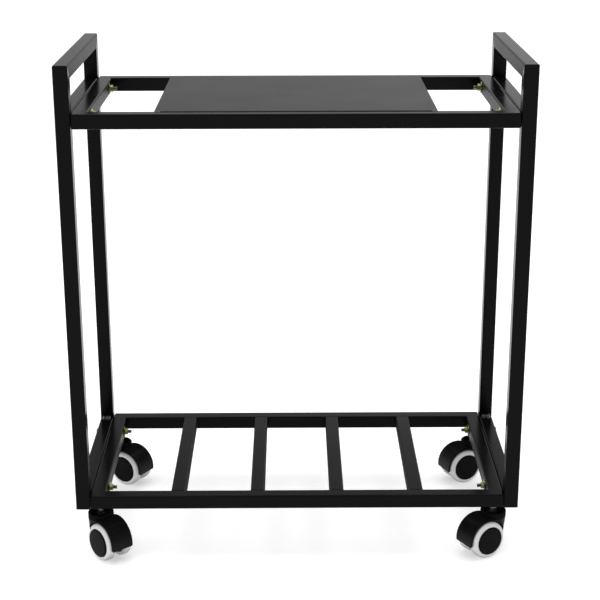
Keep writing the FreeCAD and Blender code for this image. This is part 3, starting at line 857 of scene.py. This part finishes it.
def bolt_head():
    """Round head with a cross slot, its seat at 0."""
    dome = turned(rounded([(0, 0), (0, BOLT_HEAD_RADIUS), (BOLT_HEAD, BOLT_HEAD_RADIUS, BOLT_HEAD_CURVE),
                           (BOLT_HEAD, 0)], 10), 64, False)
    arm, slot, deep = BOLT_CROSS
    for wide, tall in ((arm, slot), (slot, arm)):
        corner = Vector((wide / 2, tall / 2, 0))
        cutter = to_mesh(block(Z * (BOLT_HEAD - deep) - corner, Z * 2 * BOLT_HEAD + corner))
        dome = carved(dome, cutter, "DIFFERENCE")
    return eased(dome, 30)


def bolt_rod(length):
    """Threaded rod with a plain shank under the head, its tip at 0."""
    wound = length - BOLT_SHANK
    rod = turned([(0, 0), (0, BOLT_TIP), (BOLT_TIP_LENGTH, BOLT_CORE), (wound, BOLT_CORE),
                  (wound + BOLT_RUN_OUT, BOLT / 2), (length, BOLT / 2), (length, 0)], 32, False)
    return eased(grown(thread, rod, Radius=BOLT / 2, Length=wound, Pitch=BOLT_PITCH, Material=yellow_zinc))


def fasten():
    """Bolt heads, threaded rods, washers and nuts."""
    tips, turns, bolt = inner_faces("frame_bolts")
    length = bolt.x - BOLT_HEAD
    seats = [tip + X * math.copysign(length, tip.x) for tip in tips]
    set_pieces("bolt_heads", bolt_head(), seats, turns, yellow_zinc, "yellow_zinc", "frame_bolts")
    set_pieces("bolt_threads", bolt_rod(length), tips, turns, yellow_zinc, "yellow_zinc", "frame_bolts")

    places, turns, washer = inner_faces("frame_washers")
    thick, wide = washer.x, washer.y / 2
    ring = eased(turned(rounded([(0, WASHER_HOLE), (thick, WASHER_HOLE), (thick, wide, WASHER_EDGE),
                                 (0, wide, WASHER_EDGE)], 3), 64))
    set_pieces("bolt_washers", ring, places, turns, yellow_zinc, "yellow_zinc", "frame_washers")

    places, turns, nut = inner_faces("frame_nuts")
    nut = eased(hex_block(NUT_FLATS, 0, nut.x, BOLT), 20)
    set_pieces("bolt_nuts", nut, places, turns, yellow_zinc, "yellow_zinc", "frame_nuts")


fasten()
plugs = eased(merged_copy("post_plugs"))
piece("post_foot_plugs", plugs, plug_plastic, "plug_plastic", "frame", "post_plugs")


# Casters

def joint(name):
    """Place and axis of a joint."""
    found = next(j for j in frame["joints"] if j["name"] == name)
    return Vector(found["pos_m"]), Vector(found["axis"])


def heights(node):
    """Lowest and highest point of a node."""
    low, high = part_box(node)
    return low.z, high.z


def stem_set():
    """Stems with their hexagons and nuts, turned with the casters at rest."""
    places, turns = [], []
    for corner in CORNERS:
        pin = joint(f"{corner}_swivel")[0]
        trail = joint(f"{corner}_wheel_1_spin")[0] - pin
        places.append(Vector((pin.x, pin.y, 0)))
        turns.append((0, 0, math.atan2(trail.y, trail.x)))
    bottom, top = heights("caster_stems")
    nut_low, nut_high = heights("caster_lock_nuts")
    weld_low, weld_high = heights("caster_weld_nuts")
    seat = joint("front_left_swivel")[0].z - COLLAR_RECESS
    crown = seat + STEM_FLANGE_THICKNESS
    pin, rod, flange = STEM_PIN / 2, STEM_THREAD / 2, STEM_FLANGE / 2

    shaft = turned(rounded([(bottom, 0), (bottom, pin, STEM_LEAD), (crown, pin), (crown, rod),
                            (top, rod, STEM_LEAD), (top, 0)], 4), 48, False)
    shaft = eased(joined(shaft, hex_block(STEM_HEX, crown, nut_low, 0)), 20)
    disc = rounded([(seat, pin), (seat, flange, STEM_FLANGE_EDGE), (crown, flange, STEM_FLANGE_EDGE),
                    (crown, pin)], 4)
    lock = hex_block(STEM_NUT, nut_low, nut_high, STEM_THREAD)
    fixed = hex_block(STEM_NUT, weld_low, weld_high, STEM_THREAD, crown_high=False)
    for name, mesh, material, node in (
            ("caster_stem_shafts", shaft, bright_zinc, "caster_stems"),
            ("caster_stem_flanges", eased(turned(disc, 48), 20), black_oxide, "caster_stems"),
            ("caster_lock_hexes", eased(lock, 20), bright_zinc, "caster_lock_nuts"),
            ("caster_weld_hexes", eased(fixed, 20), weld_coat, "caster_weld_nuts")):
        set_pieces(name, mesh, places, turns, material, "bright_steel", node)


stem_set()

lip = TREAD_OUTER - TREAD_LIP
tread_profile = rounded([
    (TREAD_INNER, TREAD_SEAT), (TREAD_INNER, WHEEL_RADIUS, TREAD_INNER_CURVE),
    (TREAD_OUTER, WHEEL_RADIUS, TREAD_OUTER_CURVE), (TREAD_OUTER, CAP_RADIUS + WHEEL_FIT, TREAD_LIP_EDGE),
    (lip, CAP_RADIUS + WHEEL_FIT), (lip, TREAD_SEAT)], 8)
core_profile = rounded([
    (HUB_FACE, AXLE_RADIUS), (HUB_FACE, HUB_RADIUS, HUB_EDGE), (CAP_FACE - CAP_WALL, HUB_RADIUS),
    (CAP_FACE - CAP_WALL, RIM_ROOT), (TREAD_INNER, RIM_MOUTH), (TREAD_INNER, TREAD_SEAT - WHEEL_FIT),
    (lip - WHEEL_FIT, TREAD_SEAT - WHEEL_FIT), (lip - WHEEL_FIT, CAP_RADIUS),
    (CAP_FACE - CAP_DROP, CAP_RADIUS, CAP_CURVE), (CAP_FACE - CAP_BULGE_DROP, CAP_BULGE_RADIUS),
    (CAP_FACE, 0), (CAP_FACE - AXLE_COVER, 0), (CAP_FACE - AXLE_COVER, AXLE_RADIUS)], 8)
tread_ring = eased(turned(tread_profile, 128), 40)
wheel_core = eased(turned(core_profile, 128), 40)

for corner in CORNERS:
    housing = f"{corner}_caster_housing"
    hood = eased(merged_copy(housing), 30)
    piece(f"{corner}_caster_hood", hood, hood_plastic, "caster_housing", f"{corner}_caster", housing)
    for number, side in ((1, 1), (2, -1)):
        axle, axis = joint(f"{corner}_wheel_{number}_spin")
        place = Matrix.Translation(axle) @ (side * axis).to_track_quat("Z", "Y").to_matrix().to_4x4()
        for mesh, kind, material in ((tread_ring, "tread", tread_white),
                                     (wheel_core, "wheel", wheel_plastic)):
            shape = mesh.copy()
            shape.transform(place)
            piece(f"{corner}_{kind}_{number}", shape, material, f"caster_{kind}", f"{corner}_wheel_{number}",
                  f"{corner}_caster_{kind}_{number}")

for node in [f"{corner}_caster_axle" for corner in CORNERS] + ["caster_grip_rings"]:
    shown = frame["nodes"][node].data.materials
    shown.clear()
    shown.append(bright_zinc)


# Floor, light and camera

FLOOR_HALF = 20
LAMP_AIM = Vector((0, 0, 0.4))

# Tones of the studio's walls, from looking level (0) to looking straight up (1)
STUDIO_TONES = ((0.0, 1.0), (0.05, 0.96), (0.12, 0.58), (0.24, 0.62), (0.36, 1.0), (0.44, 0.42), (1.0, 0.42))
# How much lighter the back right and front left corners are than the other two, how softly the corners
# pass into one another, and where above the floor this begins
STUDIO_SLANT = 0.36
SLANT_BLEND = 0.2
SLANT_START = (0.04, 0.12)

# The photograph's point of view
EYE = Vector((-0.0067, -2.1632, 1.0912))
YAW, PITCH, ROLL = 0.0058, 0.3187, -0.0021
PIXEL_FOCUS, FRAME_PIXELS = 1432.8, 600
SENSOR_WIDTH = 36

floor_shell = bmesh.new()
bmesh.ops.create_grid(floor_shell, x_segments=1, y_segments=1, size=FLOOR_HALF)
floor_mesh = freed(floor_shell, "floor")
floor_mesh.materials.append(pale_floor("pale_floor"))
as_object("floor", floor_mesh)


def soft_light(name, place, size, power):
    """Large soft lamp that looks at the trolley's middle."""
    lamp = bpy.data.lights.new(name, "AREA")
    lamp.shape = "RECTANGLE"
    lamp.size, lamp.size_y = size
    lamp.energy = power
    turn = (LAMP_AIM - place).to_track_quat("-Z", "Y").to_matrix().to_4x4()
    as_object(name, lamp).matrix_world = Matrix.Translation(place) @ turn


soft_light("overhead", place=Vector((0.0, 0.6, 3.4)), size=(3.5, 3.0), power=40)
soft_light("left_front", place=Vector((-2.6, -2.4, 2.4)), size=(1.6, 1.6), power=12)
sky = bpy.data.lights.new("sky_sheet", "SUN")
sky.energy = 1.3
sky.angle = math.radians(70)
as_object("sky_sheet", sky)

studio = bpy.data.worlds.new("studio")
studio.use_nodes = True
looking = Wire(studio.node_tree).node("ShaderNodeTexCoord", {}, {}, "Generated")
rise = looking.along("Z")
tones = [(height, (tone, tone, tone)) for height, tone in STUDIO_TONES]
walls = rise.node("ShaderNodeValToRGB", {"stops": tones}, {"Fac": rise}, "Color")
slant = steps_from(looking.along("X") * looking.along("Y"), -SLANT_BLEND, SLANT_BLEND) - 0.5
lift = 1 + STUDIO_SLANT * (slant * steps_from(rise, *SLANT_START))
walls = walls.node("ShaderNodeVectorMath", {"operation": "SCALE"}, {0: walls, "Scale": lift})
studio.node_tree.links.new(walls.socket, studio.node_tree.nodes["Background"].inputs["Color"])
bpy.context.scene.world = studio
bpy.context.scene.view_settings.view_transform = "Standard"

ahead = Vector((math.sin(YAW) * math.cos(PITCH), math.cos(YAW) * math.cos(PITCH), -math.sin(PITCH)))
right = Vector((math.cos(YAW), -math.sin(YAW), 0))
up = right.cross(ahead)
right, up = right * math.cos(ROLL) + up * math.sin(ROLL), up * math.cos(ROLL) - right * math.sin(ROLL)
lens = bpy.data.cameras.new("camera")
lens.sensor_width = SENSOR_WIDTH
lens.lens = PIXEL_FOCUS / FRAME_PIXELS * SENSOR_WIDTH
camera = as_object("camera", lens)
camera.matrix_world = Matrix.Translation(EYE) @ Matrix((right, up, -ahead)).transposed().to_4x4()
bpy.context.scene.camera = camera
